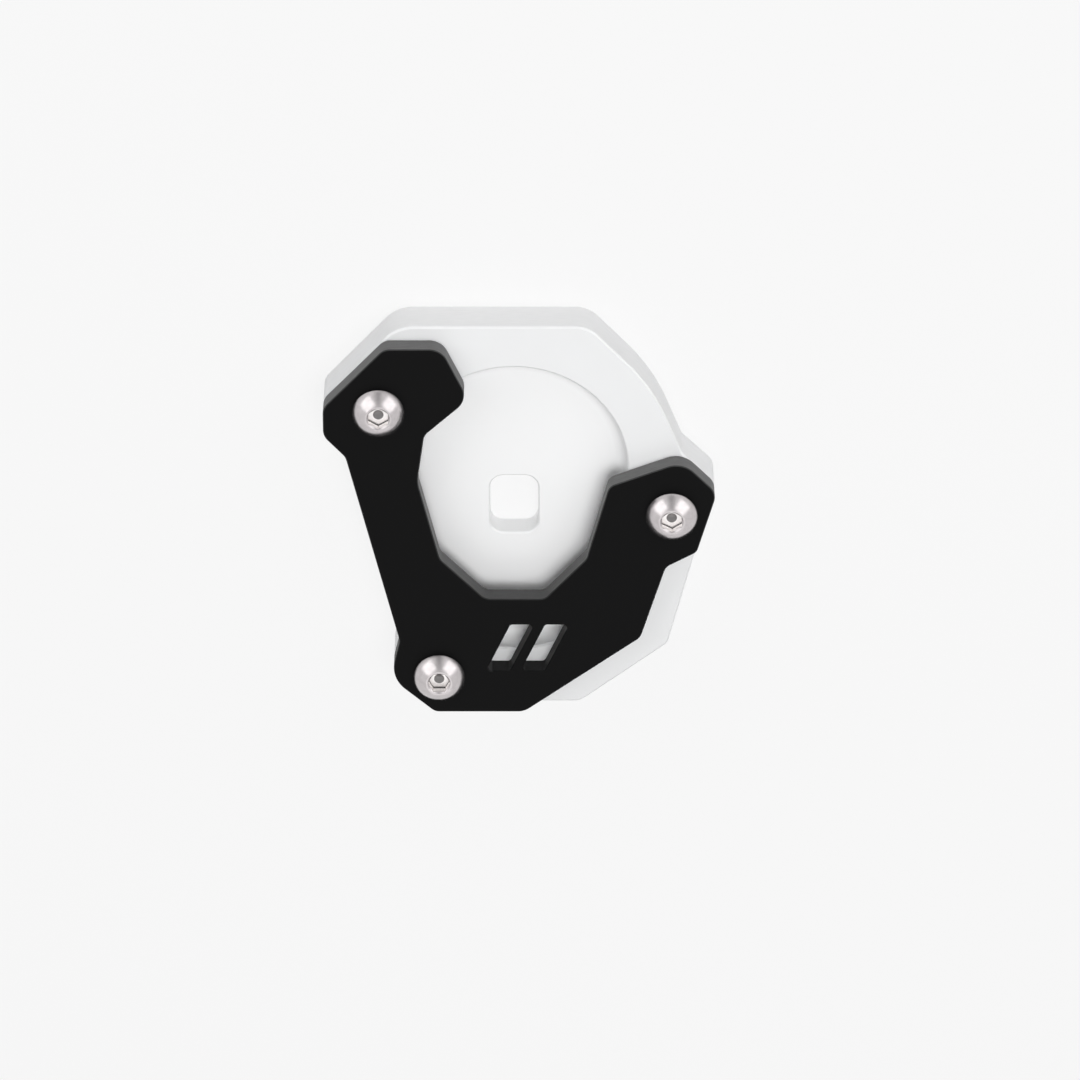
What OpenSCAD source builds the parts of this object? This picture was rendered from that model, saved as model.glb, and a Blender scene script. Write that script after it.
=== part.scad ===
// Foot enlarger for a motorcycle's side stand.
// A milled base plate takes the stand's foot in its pocket. A clamp plate reaches over the foot
// from one side, and three button head screws pull it down onto the base.
// The part lies on its sole at Z = 0, with the centre of its outer box over the origin.

/* [Foot pocket] */
// Width of the pocket for the stand's foot
pocket_w = 46; // [38:0.5:54]
// Length of the pocket
pocket_l = 64; // [56:0.5:76]
// Depth of the pocket
pocket_d = 4; // [2.5:0.1:5]
// Radius where the pocket's wall runs into its floor
pocket_fillet = 2.6; // [1:0.1:3.2]

/* [Base plate] */
// Thickness of the base plate
base_t = 10; // [8:0.1:16]
// Chamfer on the outer edges of the base plate and on the pocket's rim
base_edge = 0.4; // [0.2:0.05:0.8]
// Wall between the pocket and the far edge of the plate
far_wall = 9; // [7:0.5:14]
// Radius of the bowed outer edge, beyond the pocket's own radius
bow = 17; // [14:0.5:24]

/* [Drain slot] */
// Width of the slot through the pocket's floor
slot_w = 9.8; // [6:0.1:16]
// Length of the slot
slot_l = 13; // [8:0.5:24]
// Corner radius of the slot
slot_r = 2.8; // [1.5:0.1:2.9]
// How far the slot's middle lies below the pocket's middle
slot_drop = 0.8; // [0:0.1:3]
// Chamfer on the slot's upper edge
slot_edge = 0.3; // [0.1:0.05:0.6]

/* [Clamp plate] */
// Thickness of the clamp plate
clamp_t = 4.5; // [3:0.1:8]
// Chamfer on the edges of the clamp plate
clamp_edge = 0.2; // [0.1:0.05:0.4]
// How far the mouth's edge stands inside the pocket's wall
lip = 8; // [5:0.5:11]
// How far the mouth's closed end lies from the pocket's middle
mouth_l = 18.3; // [14:0.1:22]
// How far the mouth's straight sides reach below the pocket's middle
mouth_side = 7.6; // [5:0.1:9]

/* [Window] */
// Width of the slanted window in the clamp plate
window_w = 12; // [10:0.5:14]
// Height of the window
window_h = 10.7; // [8:0.1:11.5]
// How far the window's top leans sideways from its foot
window_lean = 5; // [3:0.5:6]
// Bar that divides the window
window_bar = 2.2; // [1.5:0.1:3]
// Distance of the window's middle below the mouth's closed end
window_drop = 11.3; // [10:0.1:13]

/* [Screws] */
// Thread diameter of the three screws
thread_d = 6; // [5:0.5:6]
// Length of a screw under its head
screw_l = 12; // [9:0.5:14]
// Diameter of a head
head_d = 10.5; // [9:0.1:11.5]
// Height of a head
head_h = 3.3; // [2.6:0.1:4]
// Height of the head's widest circle over its underside
head_rim = 0.8; // [0.4:0.1:1.2]
// Diameter of the flat on top of the head
head_flat = 5.4; // [5.2:0.1:6]
// Width of the hexagon socket across its flats
socket_w = 4; // [3:0.1:4.2]
// Depth of the socket
socket_d = 2.1; // [1.5:0.1:2.3]
// Distance of the left and lower screw axes outside the pocket's wall
screw_wall = 8.2; // [7.5:0.1:10]
// Distance of the right screw's axis outside the pocket's wall
right_wall = 8.9; // [8:0.1:11]
// Height of the right screw's axis above the pocket's middle
right_rise = 1; // [-1:0.1:2]
// Direction of the left screw, seen from the middle of the pocket's upper round
left_angle = 150.7; // [148:0.1:154]
// Direction of the lower screw, seen from the middle of the pocket's lower round
low_angle = 240.4; // [237:0.1:243]

/* [Fits] */
// Gap all round between a screw and its thread in the base plate
thread_gap = 0.1; // [0.05:0.01:0.2]
// Gap all round between a screw and its hole in the clamp plate
hole_gap = 0.25; // [0.1:0.01:0.5]

/* [Lobes] */
// Plate to the left of the left screw's axis
left_margin = 11.2; // [9:0.1:14]
// Plate to the right of the right screw's axis
right_margin = 8.7; // [8:0.1:11]
// Plate below the lower screw's axis
low_margin = 8.4; // [8:0.1:11]
// Radius of the outer corners at the side lobes
lobe_r = 3.5; // [2.5:0.1:4]

/* [Hidden] */
$fn = 64;

// Largest turn between two neighbouring points on a rounded corner
arc_step = 6;
// Overrun that carries a cut clear of the face it starts from
over = 1;
// Countersink round the mouth of a screw hole, on its radius
mouth_cut = 0.4;
// Chamfer on the tip of a screw
tip_cut = 0.7;
// How far the head's underside draws in from its widest circle
rim_draw = 0.35;
// Wider mouth of the socket, on its radius, and its depth
socket_mouth = 0.35;
// Corner radius of the window
window_r = 0.8;
// Radius of the inner corners where a lobe meets the rest of a plate
notch_r = 3;
// Radius of the outline's corners at the plates' lower edge
low_r = 4;
// Overlap that carries a flared cut into the opening it belongs to
lap = 0.1;

// Pocket, with its middle at the origin of the plan
pocket_r = pocket_w / 2;
round_y = pocket_l / 2 - pocket_r;
floor_z = base_t - pocket_d;
clamp_z = base_t;
head_z = clamp_z + clamp_t;

// Screw axes in the plan
left_at = [0, round_y] + (pocket_r + screw_wall) * [cos(left_angle), sin(left_angle)];
low_at = [0, -round_y] + (pocket_r + screw_wall) * [cos(low_angle), sin(low_angle)];
right_at = [pocket_r + right_wall, right_rise];
screw_places = [left_at, right_at, low_at];

// Outer limits of the plan, and its middle, which is put over the origin
left_x = left_at.x - left_margin;
right_x = right_at.x + right_margin;
far_y = pocket_l / 2 + far_wall;
low_y = low_at.y - low_margin;
middle = [(left_x + right_x) / 2, (far_y + low_y) / 2];

// A corner is a circle, [x, y, radius], that the edges on both sides of it touch.
// The radius is negative in an inner corner, whose circle lies outside the plate.
// Corners run anticlockwise. Those at the lobes are shared by both plates, which are flush there.
function from(place, dx, dy, r) = [place.x + dx, place.y + dy, r];

left_corners = [
    [left_x + lobe_r, left_at.y - 0.6, lobe_r],
    [left_x + lobe_r, left_at.y - 4.1, lobe_r],
    from(left_at, -9.5, -11.7, -notch_r)
];
low_corners = [
    from(low_at, -11.1, 8, -notch_r),
    from(low_at, -2.8, 1.8, 6.5),
    [low_at.x, low_y + 2.5, 2.5]
];
right_corner = [right_x - lobe_r, right_at.y + 3.9, lobe_r];

base_corners = concat(left_corners, low_corners, [
    [pocket_r - 10.8, low_y + low_r, low_r],
    [pocket_r + 5.8, 2.8 - pocket_l / 2, 3],
    right_corner,
    from(right_at, 4.7, 13.4, -notch_r),
    [-6.1, round_y - 3.8, pocket_r + bow],
    [pocket_r - 10.8, far_y - 6.5, 6.5],
    [left_at.x + 7.1, far_y - 8, 8]
]);

// The clamp plate's mouth, which leaves the middle of the pocket open
mouth_r = pocket_r - lip;
mouth_corners = [
    [mouth_r - notch_r, -mouth_side, -notch_r],
    [mouth_r - 9.9, 2.5 - mouth_l, -2.5],
    [-mouth_r + 10.3, notch_r - mouth_l, -notch_r],
    [-mouth_r + 2.6, -mouth_side, -notch_r],
    [-mouth_r + 3.6, round_y - 0.1, -8]
];

clamp_corners = concat(left_corners, low_corners, [
    [low_at.x + 16.1, low_y + low_r, low_r],
    [pocket_r + 0.2, 6.6 - pocket_l / 2, 3],
    from(right_at, 1, -13.7, -2.5),
    from(right_at, 3.5, -7.2, 2),
    right_corner,
    from(right_at, 0.8, 6.2, 5),
    from(right_at, -10.6, 4.6, 2.5)
], mouth_corners, [
    from(left_at, 11.5, -6.6, -2.5),
    from(left_at, 13.2, 3.7, 4),
    from(left_at, 10.2, 9.9, 4),
    from(left_at, 2.5, 10.9, 3)
]);

slot_corners = [for (q = [[-1, -1], [1, -1], [1, 1], [-1, 1]])
    [q.x * (slot_w / 2 - slot_r), q.y * (slot_l / 2 - slot_r) - slot_drop, slot_r]
];

// One half of the window, to the side of its bar that s gives, as a leaning parallelogram
window_at = [2.7, -mouth_l - window_drop];
cell_w = (window_w - window_bar) / 2;
lean = window_lean / window_h;
function window_corner(s, q) = let (
    y = q.y * (window_h / 2 - window_r),
    side = window_r * (sqrt(1 + lean * lean) - 1),
    x = s * (window_bar + cell_w) / 2 + q.x * (cell_w / 2 - window_r - side) + lean * y
) [window_at.x + x, window_at.y + y, window_r];
function window_cell(s) = [for (q = [[-1, -1], [1, -1], [1, 1], [-1, 1]]) window_corner(s, q)];

// Outward unit normal of the straight edge from corner a to corner b
function edge_normal(a, b) = let (
    step = [b.x - a.x, b.y - a.y],
    far = norm(step),
    along = (a[2] - b[2]) / far
) (step * along + [step.y, -step.x] * sqrt(1 - along * along)) / far;

// Points of one corner's arc, from the edge before it to the edge after it
function corner_arc(before, corner, after, inset) = let (
    n0 = edge_normal(before, corner),
    n1 = edge_normal(corner, after),
    start = atan2(n0.y, n0.x),
    turn = atan2(n0.x * n1.y - n0.y * n1.x, n0 * n1),
    steps = max(1, ceil(abs(turn) / arc_step))
) [for (k = [0:steps]) let (a = start + turn * k / steps)
    [corner.x, corner.y] + (corner[2] - inset) * [cos(a), sin(a)]
];

// Closed outline round a list of corners, drawn in by an inset that keeps every edge parallel
function outline(corners, inset = 0) = let (n = len(corners))
    [for (i = [0:n - 1]) each corner_arc(corners[(i + n - 1) % n], corners[i], corners[(i + 1) % n], inset)];

// Closed solid through outlines of one length, each given with its height as [z, points]
module through(levels) {
    n = len(levels[0][1]);
    top = len(levels) - 1;
    points = [for (level = levels) for (p = level[1]) [p.x, p.y, level[0]]];
    sides = [for (j = [0:top - 1]) for (i = [0:n - 1])
        [j * n + i, (j + 1) * n + i, (j + 1) * n + (i + 1) % n, j * n + (i + 1) % n]
    ];
    polyhedron(points, concat(
        [[for (i = [0:n - 1]) i]],
        sides,
        [[for (i = [n - 1:-1:0]) top * n + i]]
    ));
}

// Plate with a chamfer of one size on both its outer edges
module plate(corners, t, edge) {
    intersection() {
        linear_extrude(t) polygon(outline(corners));
        through([
            [-over, outline(corners, edge + over)],
            [edge + over, outline(corners, -over)],
            [t - edge - over, outline(corners, -over)],
            [t + over, outline(corners, edge + over)]
        ]);
    }
}

// Cut that flares an opening's edge at height z, with its wide side up, or down where up is -1
module flare(corners, z, edge, up) {
    low = [z - up * (edge + lap), outline(corners, lap)];
    high = [z + up * lap, outline(corners, -edge - lap)];
    through(up > 0 ? [low, high] : [high, low]);
}

// Half section of the pocket, from its middle out to its wall
module pocket_section() {
    depth = pocket_d + over;
    square([pocket_r - pocket_fillet, depth]);
    translate([0, pocket_fillet]) square([pocket_r, depth - pocket_fillet]);
    translate([pocket_r - pocket_fillet, pocket_fillet]) circle(pocket_fillet);
    polygon([
        [pocket_r - lap, pocket_d - base_edge],
        [pocket_r, pocket_d - base_edge],
        [pocket_r + base_edge + over, depth],
        [pocket_r - lap, depth]
    ]);
}

module pocket_cut() {
    translate([0, 0, floor_z]) {
        for (end = [0, 180]) {
            rotate(end) translate([0, round_y, 0]) rotate_extrude(angle = 180) pocket_section();
        }
        for (side = [0, 180]) {
            rotate(side) rotate([90, 0, 0]) linear_extrude(2 * round_y, center = true) pocket_section();
        }
    }
}

module slot_cut() {
    translate([0, 0, -over]) linear_extrude(floor_z + 2 * over) polygon(outline(slot_corners));
    flare(slot_corners, floor_z, slot_edge, 1);
}

// Round hole through a plate of thickness t, countersunk at both ends
module screw_hole(d, t) {
    translate([0, 0, -over]) cylinder(d = d, h = t + 2 * over);
    for (end = [0, 1]) {
        translate([0, 0, end * t]) rotate([end * 180, 0, 0]) translate([0, 0, -over])
            cylinder(d1 = d + 2 * (mouth_cut + over), d2 = d - 2 * lap, h = mouth_cut + over + lap);
    }
}

module base_plate() {
    color([0.86, 0.87, 0.88]) difference() {
        plate(base_corners, base_t, base_edge);
        pocket_cut();
        slot_cut();
        for (p = screw_places) {
            translate(p) screw_hole(thread_d + 2 * thread_gap, base_t);
        }
    }
}

module clamp_plate() {
    color([0.1, 0.1, 0.1]) translate([0, 0, clamp_z]) difference() {
        plate(clamp_corners, clamp_t, clamp_edge);
        for (s = [-1, 1]) {
            translate([0, 0, -over]) linear_extrude(clamp_t + 2 * over) polygon(outline(window_cell(s)));
            flare(window_cell(s), clamp_t, clamp_edge, 1);
        }
        for (p = screw_places) {
            translate(p) screw_hole(thread_d + 2 * hole_gap, clamp_t);
        }
    }
}

// Height of the middle of the ball that the head's dome is part of, and its radius
dome_z = (pow(head_d / 2, 2) - pow(head_flat / 2, 2) + pow(head_rim, 2) - pow(head_h, 2))
    / (2 * (head_rim - head_h));
dome_r = norm([head_d / 2, head_rim - dome_z]);

// Button head screw with its underside at the origin
module button_screw() {
    color([0.8, 0.78, 0.77]) difference() {
        union() {
            intersection() {
                translate([0, 0, dome_z]) sphere(dome_r);
                translate([0, 0, head_rim]) cylinder(d = head_d + over, h = head_h - head_rim);
            }
            cylinder(d1 = head_d - 2 * rim_draw, d2 = head_d, h = head_rim);
            translate([0, 0, tip_cut - screw_l]) cylinder(d = thread_d, h = screw_l - tip_cut);
            translate([0, 0, -screw_l]) cylinder(d1 = thread_d - 2 * tip_cut, d2 = thread_d, h = tip_cut);
        }
        translate([0, 0, head_h - socket_d]) rotate(30)
            cylinder(d = socket_w / cos(30), h = socket_d + over, $fn = 6);
        translate([0, 0, head_h - socket_mouth - lap]) cylinder(
            d1 = socket_w - 2 * lap,
            d2 = socket_w + 2 * (socket_mouth + over),
            h = socket_mouth + over + lap
        );
    }
}

module screw_at(place) {
    translate([place.x, place.y, head_z]) button_screw();
}

translate([-middle.x, -middle.y, 0]) {
    base_plate();
    clamp_plate();
    screw_at(left_at);  // screw_left
    screw_at(right_at);  // screw_right
    screw_at(low_at);  // screw_low
}
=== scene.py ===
import math

import bpy
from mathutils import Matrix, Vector


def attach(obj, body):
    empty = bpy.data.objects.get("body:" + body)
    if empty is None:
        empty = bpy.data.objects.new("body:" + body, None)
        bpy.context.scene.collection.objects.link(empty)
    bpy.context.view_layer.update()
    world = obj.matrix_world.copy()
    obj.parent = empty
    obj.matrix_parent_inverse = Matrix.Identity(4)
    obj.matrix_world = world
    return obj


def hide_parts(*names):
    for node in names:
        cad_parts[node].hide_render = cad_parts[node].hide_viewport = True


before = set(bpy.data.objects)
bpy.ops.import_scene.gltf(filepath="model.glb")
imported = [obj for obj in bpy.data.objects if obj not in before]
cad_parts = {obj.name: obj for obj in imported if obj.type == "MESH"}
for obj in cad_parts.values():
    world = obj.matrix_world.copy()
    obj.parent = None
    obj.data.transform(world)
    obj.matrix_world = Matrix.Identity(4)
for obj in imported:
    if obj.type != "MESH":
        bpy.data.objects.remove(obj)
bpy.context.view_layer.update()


# The camera looks down on the plate from above its far edge, a long way off, as a product is
# photographed from a stand. The picture's middle shows a point on the clamp plate's top face.
aim = Vector((4.15, -2.9, 14.5)) / 1000
tilt = math.radians(27.5)
distance = 1.3
lens_data = bpy.data.cameras.new("camera")
lens_data.sensor_width = 36
lens_data.lens = 213.6
lens_data.clip_start = 0.05
lens_data.clip_end = 20
camera = bpy.data.objects.new("camera", lens_data)
camera.location = aim + distance * Vector((0, math.sin(tilt), math.cos(tilt)))
camera.rotation_euler = (-tilt, 0, 0)
bpy.context.scene.collection.objects.link(camera)
bpy.context.scene.camera = camera


# The base plate, milled from 10 mm aluminium and left with a fine satin skin. A stadium pocket
# takes the stand's foot, a slot through its floor lets water out, and three tapped holes take
# the screws. The outer edges and the pocket's rim are chamfered.
MM = 0.001
pocket_r = 23
round_y = 9
pocket_d = 4
pocket_fillet = 2.6
base_t = 10
base_edge = 0.4
far_wall = 9
bow = 17
thread_d = 6
thread_gap = 0.1
hole_mouth = 0.4
pitch = 1
thread_depth = 0.56
thread_flat = 0.12
groove = 0.3
head_d = 10.5

left_at = Vector((0, round_y)) + (pocket_r + 8.2) * Vector(
    (math.cos(math.radians(150.7)), math.sin(math.radians(150.7))))
low_at = Vector((0, -round_y)) + (pocket_r + 8.2) * Vector(
    (math.cos(math.radians(240.4)), math.sin(math.radians(240.4))))
right_at = Vector((pocket_r + 8.9, 1))
holes = (left_at, right_at, low_at)
left_x = left_at.x - 11.2
right_x = right_at.x + 8.7
far_y = pocket_r + round_y + far_wall
low_y = low_at.y - 8.4
middle = Vector((left_x + right_x, far_y + low_y)) / 2

# A corner is a circle, x, y and radius, that the edges on both sides of it touch. The radius is
# negative in an inner corner. Those at the lobes are shared by both plates, which are flush there.
lobe_r, notch_r, low_r = 3.5, 3, 4
left_corners = [
    (left_x + lobe_r, left_at.y - 0.6, lobe_r),
    (left_x + lobe_r, left_at.y - 4.1, lobe_r),
    (left_at.x - 9.5, left_at.y - 11.7, -notch_r),
]
low_corners = [
    (low_at.x - 11.1, low_at.y + 8, -notch_r),
    (low_at.x - 2.8, low_at.y + 1.8, 6.5),
    (low_at.x, low_y + 2.5, 2.5),
]
right_corner = (right_x - lobe_r, right_at.y + 3.9, lobe_r)
base_corners = left_corners + low_corners + [
    (pocket_r - 10.8, low_y + low_r, low_r),
    (pocket_r + 5.8, 2.8 - pocket_r - round_y, 3),
    right_corner,
    (right_at.x + 4.7, right_at.y + 13.4, -notch_r),
    (-6.1, round_y - 3.8, pocket_r + bow),
    (pocket_r - 10.8, far_y - 6.5, 6.5),
    (left_at.x + 7.1, far_y - 8, 8),
]
pocket_corners = [(0, -round_y, pocket_r), (0, round_y, pocket_r)]
slot_at = Vector((0, -0.8))
slot_corners = [(slot_at.x + x, slot_at.y + y, 2.8)
                for x, y in ((-2.1, -3.7), (2.1, -3.7), (2.1, 3.7), (-2.1, 3.7))]
slot_edge = 0.3

# How far a cutter reaches past the metal, how fine round shapes are, when a face counts as
# level and an edge as gentle, and below which distance, in metres, two points are one: where
# they are drawn, and where a boolean has left a hairline gap.
past = 1
arc_step = math.radians(3)
fillet_steps = 10
round_steps = 96
thread_steps = 48
level = 0.99
gentle = math.radians(20)
same = 1e-6
hairline = 2e-7


def edge_normal(a, b):
    """Outward unit normal of the straight edge that touches two corner circles."""
    step = Vector((b[0] - a[0], b[1] - a[1]))
    far = step.length
    along = (a[2] - b[2]) / far
    return (step * along + Vector((step.y, -step.x)) * math.sqrt(1 - along * along)) / far


def arcs(corners, widen):
    """Each corner's middle, start, end and turn, on an outline that is widened all round."""
    found = []
    for i, corner in enumerate(corners):
        n0 = edge_normal(corners[i - 1], corner)
        n1 = edge_normal(corner, corners[(i + 1) % len(corners)])
        turn = math.atan2(n0.x * n1.y - n0.y * n1.x, n0.dot(n1))
        if corner[2] > 0 and turn < 0:
            turn += 2 * math.pi
        centre = Vector((corner[0], corner[1]))
        radius = corner[2] + widen
        found.append((centre, centre + radius * n0, centre + radius * n1, turn))
    return found


def in_frame(point, height):
    """A point of the plan, in millimetres, as a place in the frame."""
    return Vector((point.x - middle.x, point.y - middle.y, height)) * MM


def start_piece(name):
    """An empty mesh at the origin, open in edit mode."""
    bpy.ops.object.select_all(action="DESELECT")
    bpy.ops.mesh.primitive_plane_add(size=MM, location=(0, 0, 0))
    piece = bpy.context.active_object
    piece.name = piece.data.name = name
    bpy.ops.object.mode_set(mode="EDIT")
    bpy.ops.mesh.select_mode(type="VERT")
    bpy.ops.mesh.select_all(action="SELECT")
    bpy.ops.mesh.delete(type="VERT")
    return piece


def draw_face(corners, height, widen=0.0):
    """Draws an outline as a face that looks up: a point is spun round each corner and drawn on."""
    path = arcs(corners, widen)
    bpy.ops.mesh.primitive_plane_add(size=MM, location=in_frame(path[0][1], height))
    bpy.ops.mesh.merge(type="CENTER")
    for (centre, start, end, turn), following in zip(path, path[1:] + path[:1]):
        steps = max(1, math.ceil(abs(turn) / arc_step))
        bpy.ops.mesh.spin(
            steps=steps, angle=turn, center=in_frame(centre, height), axis=(0, 0, -1))
        step = in_frame(following[1], height) - in_frame(end, height)
        bpy.ops.mesh.extrude_region_move(TRANSFORM_OT_translate={"value": step})
    bpy.ops.mesh.select_all(action="SELECT")
    bpy.ops.mesh.remove_doubles(threshold=same)
    bpy.ops.mesh.edge_face_add()


def draw_section(points):
    """Draws half a section through an upright axis, as a line of points (radius, height)."""
    places = [Vector((radius, 0, height)) * MM for radius, height in points]
    bpy.ops.mesh.primitive_plane_add(size=MM, location=places[0])
    bpy.ops.mesh.merge(type="CENTER")
    for a, b in zip(places, places[1:]):
        bpy.ops.mesh.extrude_region_move(TRANSFORM_OT_translate={"value": b - a})


def raise_face(height):
    """Extrudes the selected face straight up, or down when the height is negative."""
    bpy.ops.mesh.extrude_region_move(TRANSFORM_OT_translate={"value": (0, 0, height * MM)})


def draw_in(inwards, outwards):
    """Insets the selected face and pushes the new one out along its own normal."""
    bpy.ops.mesh.inset(thickness=inwards * MM, depth=outwards * MM, use_even_offset=True)


def pick_faces(piece, wanted):
    """Selects the faces of which wanted is true, in edit mode."""
    bpy.ops.object.mode_set(mode="OBJECT")
    for part in (*piece.data.vertices, *piece.data.edges):
        part.select = False
    for face in piece.data.polygons:
        face.select = wanted(face)
    bpy.ops.object.mode_set(mode="EDIT")
    bpy.ops.mesh.select_mode(type="FACE")


def turn_outwards():
    """Turns all faces of the piece in edit mode outwards."""
    bpy.ops.mesh.select_all(action="SELECT")
    bpy.ops.mesh.normals_make_consistent(inside=False)


def close_piece(piece):
    """Turns all faces outwards and leaves edit mode."""
    turn_outwards()
    bpy.ops.object.mode_set(mode="OBJECT")
    return piece


def plate(name, corners, low, thick, edge):
    """A plate with the same chamfer round both its faces."""
    piece = start_piece(name)
    draw_face(corners, low + edge)
    raise_face(thick - 2 * edge)
    turn_outwards()
    for up in (1, -1):
        pick_faces(piece, lambda face: face.normal.z * up > level)
        draw_in(edge, edge)
    return close_piece(piece)


def combine(piece, operation, *others):
    """Takes other closed shapes out of a piece, adds them to it, or keeps what they share."""
    for other in others:
        modifier = piece.modifiers.new("combine", "BOOLEAN")
        modifier.operation = operation
        modifier.solver = "EXACT"
        modifier.object = other
        bpy.context.view_layer.objects.active = piece
        bpy.ops.object.modifier_apply(modifier=modifier.name)
        bpy.data.objects.remove(other)
    bpy.ops.object.mode_set(mode="EDIT")
    bpy.ops.mesh.select_all(action="SELECT")
    bpy.ops.mesh.remove_doubles(threshold=hairline)
    bpy.ops.object.mode_set(mode="OBJECT")
    return piece


def chamfer_tool(corners, top, edge):
    """The upper end of a cutter, which leaves a chamfer, with its lowest face selected."""
    piece = start_piece("tool")
    draw_face(corners, top + 2 * past, edge + past)
    pick_faces(piece, lambda face: True)
    if piece.data.polygons[0].normal.z > 0:
        bpy.ops.mesh.flip_normals()
    raise_face(-past)
    draw_in(edge + past, edge + past)
    return piece


def through_tool(corners, low, top, edge):
    """Cutter for an opening with a chamfer round its upper edge."""
    piece = chamfer_tool(corners, top, edge)
    raise_face(low - past - top + edge)
    return close_piece(piece)


def pocket_tool():
    """Cutter for the pocket, with the chamfer of its rim and the fillet round its floor."""
    piece = chamfer_tool(pocket_corners, base_t, base_edge)
    raise_face(base_edge + pocket_fillet - pocket_d)
    for k in range(fillet_steps):
        a0, a1 = (math.pi / 2 * j / fillet_steps for j in (k, k + 1))
        inwards = pocket_fillet * (math.cos(a0) - math.cos(a1))
        draw_in(inwards, pocket_fillet * (math.sin(a1) - math.sin(a0)))
    return close_piece(piece)


def hole_tool(at, radius, low, top):
    """Cutter for a round hole that is countersunk at both ends."""
    bpy.ops.object.select_all(action="DESELECT")
    bpy.ops.mesh.primitive_cylinder_add(
        vertices=round_steps, radius=radius * MM, depth=(top - low - 2 * hole_mouth) * MM,
        location=in_frame(at, (low + top) / 2))
    piece = bpy.context.active_object
    bpy.ops.object.transform_apply(location=True)
    bpy.ops.object.mode_set(mode="EDIT")
    for up in (1, -1):
        pick_faces(piece, lambda face: face.normal.z * up > level)
        raise_face(up * (hole_mouth + past))
        grow = 1 + (hole_mouth + past) / radius
        bpy.ops.transform.resize(value=(grow, grow, 1), center_override=in_frame(at, 0))
    return close_piece(piece)


def threaded(radius, low, top):
    """A threaded rod round the axis: the section of one turn, repeated with a rise of a pitch.

    Two turns too many at each end are cut off, at heights where no plane meets a vertex.
    """
    root = radius - thread_depth
    flank = thread_depth * math.tan(math.radians(30))
    start = low - 2 * pitch
    piece = start_piece("thread")
    draw_section([
        (root, start), (root, start + thread_flat), (radius, start + thread_flat + flank),
        (radius, start + 2 * thread_flat + flank), (root, start + 2 * (thread_flat + flank)),
        (root, start + pitch)])
    bpy.ops.object.mode_set(mode="OBJECT")
    modifier = piece.modifiers.new("turns", "SCREW")
    modifier.steps = modifier.render_steps = thread_steps
    modifier.screw_offset = pitch * MM
    modifier.iterations = math.ceil((top - low) / pitch) + 4
    modifier.use_merge_vertices = True
    modifier.merge_threshold = same
    bpy.ops.object.modifier_apply(modifier=modifier.name)
    bpy.ops.object.mode_set(mode="EDIT")
    bpy.ops.mesh.select_all(action="SELECT")
    bpy.ops.mesh.remove_doubles(threshold=same)
    past_end = 0.53 * pitch
    for height, up in ((low - past_end, False), (top + past_end, True)):
        bpy.ops.mesh.select_all(action="SELECT")
        bpy.ops.mesh.bisect(plane_co=(0, 0, height * MM), plane_no=(0, 0, 1), use_fill=True,
                            clear_inner=not up, clear_outer=up, threshold=1e-7)
    return close_piece(piece)


def move_to(piece, place):
    """Moves a piece and leaves its origin where it was."""
    bpy.ops.object.select_all(action="DESELECT")
    bpy.context.view_layer.objects.active = piece
    piece.select_set(True)
    piece.location = place
    bpy.ops.object.transform_apply(location=True)


def finish_mesh(piece, material, slot, *nodes):
    """Smooth shading between gentle edges, the material, and the piece's place in the frame."""
    bpy.ops.object.select_all(action="DESELECT")
    bpy.context.view_layer.objects.active = piece
    piece.select_set(True)
    bpy.ops.object.shade_smooth_by_angle(angle=gentle)
    modifier = piece.modifiers.new("normals", "WEIGHTED_NORMAL")
    modifier.keep_sharp = True
    modifier.weight = 100
    bpy.ops.object.modifier_apply(modifier=modifier.name)
    piece.data.materials.clear()
    piece.data.materials.append(material)
    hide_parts(*nodes)
    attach(piece, "root")


class Value:
    """A socket in a finish's maths, so that sums and products of patterns read as plain lines."""

    def __init__(self, finish, socket):
        self.finish = finish
        self.socket = socket

    def math(self, operation, a, b):
        return self.finish.node("ShaderNodeMath", {"operation": operation}, {0: a, 1: b})

    def __add__(self, other):
        return self.math("ADD", self, other)

    __radd__ = __add__

    def __mul__(self, other):
        return self.math("MULTIPLY", self, other)

    __rmul__ = __mul__

    def __sub__(self, other):
        return self.math("SUBTRACT", self, other)

    def __rsub__(self, other):
        return self.math("SUBTRACT", other, self)

    def __lt__(self, other):
        return self.math("LESS_THAN", self, other)

    def larger(self, other):
        return self.math("MAXIMUM", self, other)

    def smaller(self, other):
        return self.math("MINIMUM", self, other)

    def absolute(self):
        return self.math("ABSOLUTE", self, 0)


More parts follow.
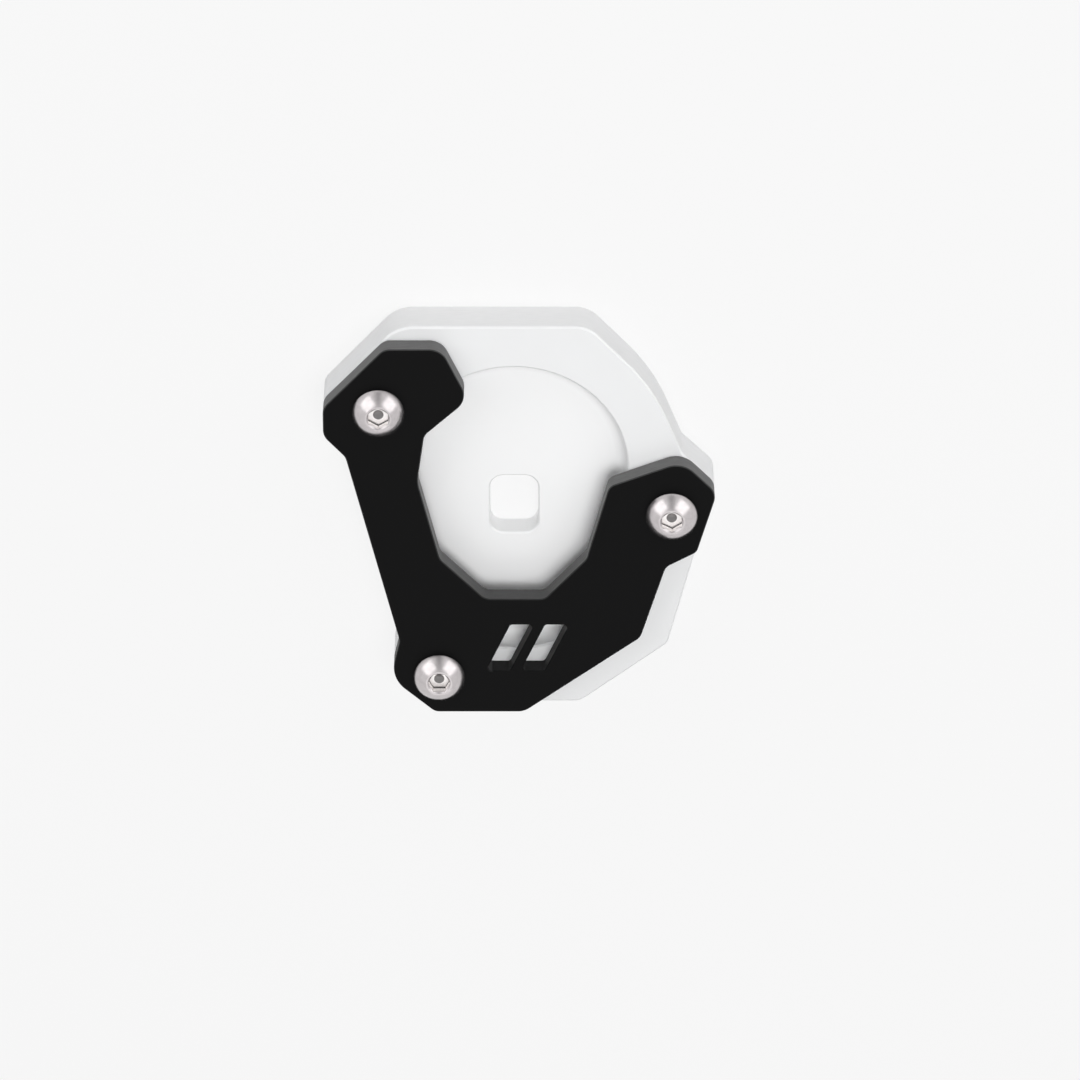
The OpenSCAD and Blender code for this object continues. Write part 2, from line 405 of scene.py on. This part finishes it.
class Finish:
    """A material, or the light of the room, that is put together from nodes."""

    def __init__(self, owner, surface="Principled BSDF"):
        self.owner = owner
        owner.use_nodes = True
        self.tree = owner.node_tree
        self.surface = self.tree.nodes[surface]

    def node(self, kind, settings, inputs, output=0):
        """Adds a node, its settings first, and gives the named output as a value."""
        node = self.tree.nodes.new(kind)
        for name, setting in settings.items():
            setattr(node, name, setting)
        self.fill(node, inputs)
        return Value(self, node.outputs[output])

    def fill(self, node, inputs):
        """Sets or links a node's inputs."""
        for name, given in inputs.items():
            socket = node.inputs[name]
            if isinstance(given, Value):
                self.tree.links.new(given.socket, socket)
            else:
                socket.default_value = given

    def place(self):
        """Object coordinates, in which a pattern stays put on the piece."""
        return self.node("ShaderNodeTexCoord", {}, {}, "Object")

    def noise(self, scale, detail, stretch=(1, 1, 1)):
        """Noise with cells of about 1 / scale metres."""
        spot = self.node("ShaderNodeMapping", {}, {"Vector": self.place(), "Scale": stretch})
        return self.node(
            "ShaderNodeTexNoise", {}, {"Vector": spot, "Scale": scale, "Detail": detail}, "Fac")

    def wall(self):
        """1 on an upright wall and 0 on a level face."""
        facing = self.node("ShaderNodeTexCoord", {}, {}, "Normal")
        upwards = self.node("ShaderNodeSeparateXYZ", {}, {"Vector": facing}, "Z")
        return 1 - upwards.absolute()

    def along(self, axis):
        """Place along one axis of the frame, in metres."""
        return self.node("ShaderNodeSeparateXYZ", {}, {"Vector": self.place()}, axis)

    def from_axis(self, at):
        """Distance from an upright axis, in metres."""
        flat = self.node(
            "ShaderNodeVectorMath", {"operation": "MULTIPLY"}, {0: self.place(), 1: (1, 1, 0)})
        return self.node(
            "ShaderNodeVectorMath", {"operation": "DISTANCE"}, {0: flat, 1: in_frame(at, 0)},
            "Value")

    def mix(self, factor, a, b):
        """A colour between a and b, by the colour sockets of the node: 6, 7 and output 2."""
        ends = [end if isinstance(end, Value) else (*end, 1) for end in (a, b)]
        return self.node(
            "ShaderNodeMix", {"data_type": "RGBA"}, {0: factor, 6: ends[0], 7: ends[1]}, 2)

    def bump(self, height, strength, depth):
        """Normal from a height pattern."""
        return self.node(
            "ShaderNodeBump", {}, {"Height": height, "Strength": strength, "Distance": depth})

    def seen(self):
        """1 for the rays by which the camera, or a shiny or clear surface, sees something."""
        camera_ray, glossy_ray, clear_ray = (
            self.node("ShaderNodeLightPath", {}, {}, name)
            for name in ("Is Camera Ray", "Is Glossy Ray", "Is Transmission Ray"))
        return camera_ray.larger(glossy_ray).larger(clear_ray)

    def done(self, inputs):
        """Fills the shader's own sockets."""
        self.fill(self.surface, inputs)
        return self.owner


# A fine grain all over, and milling marks that run along the outer walls. The pocket's floor and
# the slot
# are paler than the top: painted light that offsets the shade in these recesses.
along_wall = (0.06, 0.06, 1)
recess_light_top = base_t - 1
slot_light_reach = 9
satin = Finish(bpy.data.materials.new("satin_aluminium"))
satin_grain = satin.noise(9000, 3)
satin_cloud = satin.noise(120, 2)
satin_tone = satin_cloud * 0.6 + satin_grain * 0.4
satin_top = satin.mix(satin_tone, (0.87, 0.875, 0.88), (0.92, 0.925, 0.93))
# Painted light: a paler colour below the top face, for the pocket's floor and the slot.
satin_recess_painted_light = satin.mix(satin_tone, (0.95, 0.955, 0.96), (0.99, 0.99, 0.99))
satin_marks = satin.noise(5000, 2, along_wall)
# The slot's walls take the paler painted light too, not the wall colour.
satin_outside = satin.wall() * (1 - (satin.from_axis(slot_at) < slot_light_reach * MM))
satin_wall = satin.mix(satin_marks, (0.83, 0.835, 0.84), (0.95, 0.95, 0.955))
satin_level = satin.mix(satin.along("Z") < recess_light_top * MM, satin_top, satin_recess_painted_light)
satin_aluminium = satin.done({
    "Base Color": satin.mix(satin_outside, satin_level, satin_wall),
    "Metallic": 0.12,
    "Roughness": 0.45 + satin_grain * 0.06 + satin_cloud * 0.04,
    "Normal": satin.bump(satin_grain + satin_marks * satin.wall(), 0.1, 0.00002),
})

base_plate = plate("base_plate_milled", base_corners, 0, base_t, base_edge)
combine(base_plate, "DIFFERENCE", pocket_tool(),
        through_tool(slot_corners, 0, base_t - pocket_d, slot_edge))
tapped_r = thread_d / 2 + thread_gap
combine(base_plate, "DIFFERENCE", *(hole_tool(at, tapped_r, 0, base_t) for at in holes))
for at in holes:
    tap = threaded(tapped_r + groove, -past, base_t + past)
    move_to(tap, in_frame(at, 0))
    combine(base_plate, "DIFFERENCE", tap)
finish_mesh(base_plate, satin_aluminium, "base", "base_plate")


# The clamp plate, milled from 4.5 mm aluminium and anodised satin black. It lies on the base
# plate and reaches over the pocket from three sides, so that it holds the stand's foot down.
# A leaning window, split by a bar, lightens its lower arm. Three holes let the screws through.
clamp_t = 4.5
clamp_edge = 0.2
hole_gap = 0.25
mouth_r = pocket_r - 8
mouth_l = 18.3
mouth_side = 7.6
window_w, window_h, window_bar, window_lean, window_r = 12, 10.7, 2.2, 5, 0.8
window_at = Vector((2.7, -mouth_l - 11.3))

clamp_corners = left_corners + low_corners + [
    (low_at.x + 16.1, low_y + low_r, low_r),
    (pocket_r + 0.2, 6.6 - pocket_r - round_y, 3),
    (right_at.x + 1, right_at.y - 13.7, -2.5),
    (right_at.x + 3.5, right_at.y - 7.2, 2),
    right_corner,
    (right_at.x + 0.8, right_at.y + 6.2, 5),
    (right_at.x - 10.6, right_at.y + 4.6, 2.5),
    (mouth_r - notch_r, -mouth_side, -notch_r),
    (mouth_r - 9.9, 2.5 - mouth_l, -2.5),
    (-mouth_r + 10.3, notch_r - mouth_l, -notch_r),
    (-mouth_r + 2.6, -mouth_side, -notch_r),
    (-mouth_r + 3.6, round_y - 0.1, -8),
    (left_at.x + 11.5, left_at.y - 6.6, -2.5),
    (left_at.x + 13.2, left_at.y + 3.7, 4),
    (left_at.x + 10.2, left_at.y + 9.9, 4),
    (left_at.x + 2.5, left_at.y + 10.9, 3),
]


def window_cell(side):
    """Corners of the window's half to the left or right of its bar."""
    lean = window_lean / window_h
    cell_w = (window_w - window_bar) / 2
    slack = window_r * (math.sqrt(1 + lean * lean) - 1)
    corners = []
    for qx, qy in ((-1, -1), (1, -1), (1, 1), (-1, 1)):
        y = qy * (window_h / 2 - window_r)
        x = side * (window_bar + cell_w) / 2 + qx * (cell_w / 2 - window_r - slack) + lean * y
        corners.append((window_at.x + x, window_at.y + y, window_r))
    return corners


# Nearly black on top. The walls are paler, with milling marks: a painted reflection of the bright
# room.
# They get darker from the middle towards the lower arm and in the window: painted shade.
window_shade_reach = 9
black = Finish(bpy.data.materials.new("black_anodised_aluminium"))
black_grain = black.noise(7000, 3)
black_cloud = black.noise(160, 2)
# Painted shade: the walls darken from the middle towards the lower arm.
black_painted_shade = black.node("ShaderNodeMapRange", {}, {
    "Value": black.along("Y"), "From Min": -25 * MM, "From Max": 0,
    "To Min": 0.22, "To Max": 0.78})
# Painted shade in the narrow window.
black_window_painted_shade = black.from_axis(window_at) < window_shade_reach * MM
black_marks = black.noise(6000, 2, along_wall)
black_pattern = 0.45 + black_marks * 0.7 + black_grain * 0.4
# The walls' paleness is a painted reflection that carries real milling marks, dimmed by the
# painted shade.
black_wall_marks_and_painted_light = black.wall() * black_painted_shade * black_pattern * (1 - 0.85 * black_window_painted_shade)
black_anodised = black.done({
    "Base Color": black.mix(black_wall_marks_and_painted_light, (0.0045, 0.0045, 0.0046), (0.2, 0.2, 0.2)),
    "Roughness": 0.4 + black_grain * 0.08 + black_cloud * 0.04,
    "Specular IOR Level": 0.06,
    "Normal": black.bump(black_grain + black_marks * black.wall(), 0.15, 0.00002),
})

clamp_plate = plate("clamp_plate_milled", clamp_corners, base_t, clamp_t, clamp_edge)
clamp_top = base_t + clamp_t
combine(clamp_plate, "DIFFERENCE", *(
    through_tool(window_cell(side), base_t, clamp_top, clamp_edge) for side in (-1, 1)))
combine(clamp_plate, "DIFFERENCE", *(
    hole_tool(at, thread_d / 2 + hole_gap, base_t, clamp_top) for at in holes))
finish_mesh(clamp_plate, black_anodised, "clamp", "clamp_plate")


# Three button head screws with a hexagon socket, of bright stainless steel. Each goes through
# the clamp plate into the base plate, and its head sits on the clamp plate.
head_h = 3.3
head_rim = 0.8
rim_draw = 0.35
head_flat = 5.4
socket_w = 4
socket_d = 2.1
socket_mouth = 0.35
cone_in = 0.1
drill_r = 1.1
drill_d = 0.6
screw_l = 12
tip_cut = 0.7

# The dome is part of a ball whose middle lies on the axis at dome_z. It starts at the rim, the
# head's widest circle, and ends at the flat.
dome_steps = 16
dome_z = ((head_d / 2) ** 2 - (head_flat / 2) ** 2 + head_rim ** 2 - head_h ** 2) / (
    2 * (head_rim - head_h))
dome_r = math.hypot(head_d / 2, head_rim - dome_z)


def turned(name, profile):
    """A turned solid: the half section is drawn and spun round the axis."""
    piece = start_piece(name)
    draw_section(profile)
    bpy.ops.mesh.select_all(action="SELECT")
    bpy.ops.mesh.spin(steps=round_steps, angle=2 * math.pi, center=(0, 0, 0), axis=(0, 0, 1))
    bpy.ops.mesh.select_all(action="SELECT")
    bpy.ops.mesh.remove_doubles(threshold=same)
    return close_piece(piece)


def dome_points():
    """Points of the head's dome from its widest circle up to the flat."""
    low = math.atan2(head_rim - dome_z, head_d / 2)
    high = math.atan2(head_h - dome_z, head_flat / 2)
    angles = [low + (high - low) * k / dome_steps for k in range(dome_steps + 1)]
    return [(dome_r * math.cos(a), dome_z + dome_r * math.sin(a)) for a in angles]


# Bright steel, a little uneven. The socket is less shiny, and paler inside: a painted reflection.
# It is dark at the foot of its walls and in the drill point under its floor: painted shade.
socket_reach = 2.45
foot_h = 0.4
floor_slack = 0.03
steel = Finish(bpy.data.materials.new("stainless_steel"))
steel_grain = steel.noise(5000, 3)
steel_cloud = steel.noise(800, 3)
axis_left, axis_right, axis_low = (steel.from_axis(at) for at in holes)
socket_floor = clamp_top + head_h - socket_d
socket_zone = (axis_left.smaller(axis_right).smaller(axis_low) < socket_reach * MM) * (
    1 - (steel.along("Z") < (socket_floor - drill_d - floor_slack) * MM))
# Painted shade at the foot of the socket's walls.
socket_foot_painted_shade = socket_zone * steel.wall() * (steel.along("Z") < (socket_floor + foot_h) * MM)
# Painted shade in the drill point under the socket's floor.
drill_point_painted_shade = socket_zone * (steel.along("Z") < (socket_floor - floor_slack) * MM) * 0.8
steel_tone = steel.mix(steel_cloud, (0.5, 0.47, 0.475), (0.64, 0.605, 0.61))
# Painted reflection: the socket's inside is paler than the rest of the steel.
socket_inside_painted_light = socket_zone * (steel.along("Z") < (socket_floor + socket_d - socket_mouth) * MM)
steel_tone = steel.mix(socket_inside_painted_light, steel_tone, (0.93, 0.9, 0.89))
stainless = steel.done({
    "Base Color": steel.mix(socket_foot_painted_shade.larger(drill_point_painted_shade), steel_tone, (0.04, 0.037, 0.037)),
    "Metallic": 1.0,
    "Roughness": 0.18 + steel_grain * 0.08 + socket_zone * 0.12,
    "Normal": steel.bump(steel_cloud, 0.2, 0.00006),
})


def button_screw(name, at, turn):
    """One screw, its socket turned as it ended up, made at the origin and moved to its hole."""
    cone_low = head_h - socket_mouth - cone_in
    head = turned(name, [(0, 0), (head_d / 2 - rim_draw, 0)] + dome_points() + [
        (socket_w / 2 + socket_mouth, head_h), (socket_w / 2 - cone_in, cone_low),
        (0, cone_low)])
    bpy.ops.object.select_all(action="DESELECT")
    bpy.ops.mesh.primitive_cylinder_add(
        vertices=6, radius=socket_w / 2 / math.cos(math.radians(30)) * MM, depth=socket_d * MM,
        location=(0, 0, (head_h - socket_d / 2) * MM), rotation=(0, 0, math.radians(turn)))
    socket = bpy.context.active_object
    bpy.ops.object.transform_apply(location=True, rotation=True)
    floor_z = head_h - socket_d
    drill = turned("drill", [(0, floor_z - drill_d), (1.5 * drill_r, floor_z + drill_d / 2),
                             (0, floor_z + drill_d / 2)])
    combine(head, "DIFFERENCE", socket, drill)
    inside = 0.4
    wide = 0.3
    rod = threaded(thread_d / 2, -screw_l, inside)
    blank = turned("blank", [
        (0, -screw_l), (thread_d / 2 - tip_cut, -screw_l),
        (thread_d / 2 + wide, tip_cut + wide - screw_l), (thread_d / 2 + wide, inside),
        (0, inside)])
    combine(head, "UNION", combine(rod, "INTERSECT", blank))
    move_to(head, in_frame(at, clamp_top))
    return head


for side, at, turn in (("left", left_at, 0), ("right", right_at, 3), ("low", low_at, 30)):
    screw = button_screw(f"screw_{side}_threaded", at, turn)
    finish_mesh(screw, stainless, "screws", f"screw_{side}")


# The floor, a wide pale sheet just under the sole. The camera and shiny surfaces see it mostly
# as an even tone of its own, and the rest shows the plate's shadow.
bpy.ops.object.select_all(action="DESELECT")
bpy.ops.mesh.primitive_plane_add(size=6, location=(0, 0, -0.02 * MM))
floor = bpy.context.active_object
floor.name = "floor"
paper = Finish(bpy.data.materials.new("pale_floor"))
floor.data.materials.append(paper.done({
    "Base Color": (0.8, 0.8, 0.8, 1), "Roughness": 0.9, "Specular IOR Level": 0.0}))
own_tone = paper.node("ShaderNodeEmission", {}, {"Color": (0.97, 0.97, 0.97, 1)})
sheet = Value(paper, paper.surface.outputs[0])
blend = paper.node("ShaderNodeMixShader", {}, {0: paper.seen() * 0.85, 1: sheet, 2: own_tone})
paper.fill(paper.tree.nodes["Material Output"], {"Surface": blend})

# Weak even light, which the camera and the heads see as a pale room with a dim gap in front.
# The soft boxes to the left and right show in the heads. The ones overhead and in front light
# the pocket evenly and are kept out of the heads, and the one behind fills in the shade.
room_light = 0.08
room_tone = 0.939
studio = Finish(bpy.data.worlds.new("studio"), "Background")
way = studio.node("ShaderNodeTexCoord", {}, {}, "Generated")
sideways, forwards = (
    studio.node("ShaderNodeSeparateXYZ", {}, {"Vector": way}, axis) for axis in "XY")
gap = forwards.larger(0) * (1 - 3 * sideways.absolute()).larger(0)
shown = room_tone * (1 - 0.6 * gap)
bpy.context.scene.world = studio.done({
    "Color": (1, 1, 1, 1), "Strength": room_light + studio.seen() * (shown - room_light)})


def soft_box(place, size, radiance, mirrored=True):
    """A square soft box that faces the plate, and that shiny surfaces mirror or don't."""
    data = bpy.data.lights.new("soft_box", "AREA")
    data.shape = "SQUARE"
    data.size = size
    data.energy = radiance * math.pi * size * size
    box = bpy.data.objects.new("soft_box", data)
    box.location = place
    box.visible_glossy = mirrored
    box.rotation_euler = (-box.location).to_track_quat("-Z", "Y").to_euler()
    bpy.context.scene.collection.objects.link(box)


for side in (-1, 1):
    soft_box((side * 0.69, 0.5, 0.54), 0.85, 0.95)
soft_box((0.15, 0.15, 1.2), 0.6, 7.8, mirrored=False)
soft_box((0.1, -1.0, 0.8), 1.2, 0.4)
soft_box((0, 1.1, 0.3), 0.6, 1.8, mirrored=False)

bpy.context.scene.view_settings.view_transform = "Standard"
